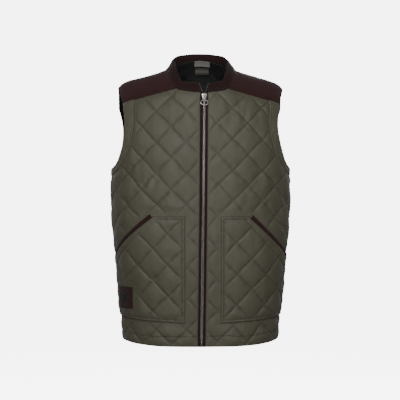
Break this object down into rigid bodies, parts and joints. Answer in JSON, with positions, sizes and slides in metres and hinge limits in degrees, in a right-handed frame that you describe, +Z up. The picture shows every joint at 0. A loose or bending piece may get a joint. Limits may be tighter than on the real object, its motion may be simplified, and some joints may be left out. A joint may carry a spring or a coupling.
{
  "type": "quilted vest",
  "caption": "Sleeveless quilted bodywarmer in its worn, hollow form, with plain shoulder yokes, a low stand collar, a full front zip and slanted patch pockets.",
  "frame": {"origin": "midway between the two points where the neck meets the shoulders, where a wearer or hanger holds the vest", "axes": "+Z up, +X to the wearer's left (image right), the chest faces -Y"},
  "size_m": [0.4686, 0.2672, 0.7514],
  "materials": {
    "quilted_shell": "lightly shiny quilted polyester",
    "plain_shell": "lightly shiny woven polyester",
    "contrast": "matt canvas",
    "lining": "dark woven lining",
    "label": "woven label",
    "zip_tape": "woven zip tape",
    "zip_metal": "cast and stamped, satin"
  },
  "bodies": {
    "vest": {"front_left": "quilted_shell", "front_right": "quilted_shell", "back": "quilted_shell", "pocket_left": "quilted_shell", "pocket_right": "quilted_shell", "armhole_band_left": "plain_shell", "armhole_band_right": "plain_shell", "yoke_left": "contrast", "yoke_right": "contrast", "collar": "contrast", "pocket_binding_left": "contrast", "pocket_binding_right": "contrast", "patch_label": "contrast", "lining_back": "lining", "neck_label": "label", "size_label": "label", "zip_tape_left": "zip_tape", "zip_tape_right": "zip_tape", "zip_end_left": "zip_tape", "zip_end_right": "zip_tape", "zip_chain": "zip_metal", "zip_box": "zip_metal", "zip_slider": "zip_metal"},
    "pull": {"zip_pull": "zip_metal"}
  },
  "joints": [
    {"name": "pull_swing", "type": "hinge", "parent": "vest", "child": "pull", "pos_m": [0.00523, -0.11148, -0.07599], "axis": [-1, 0, 0], "range_deg": [0, 150]}
  ]
}
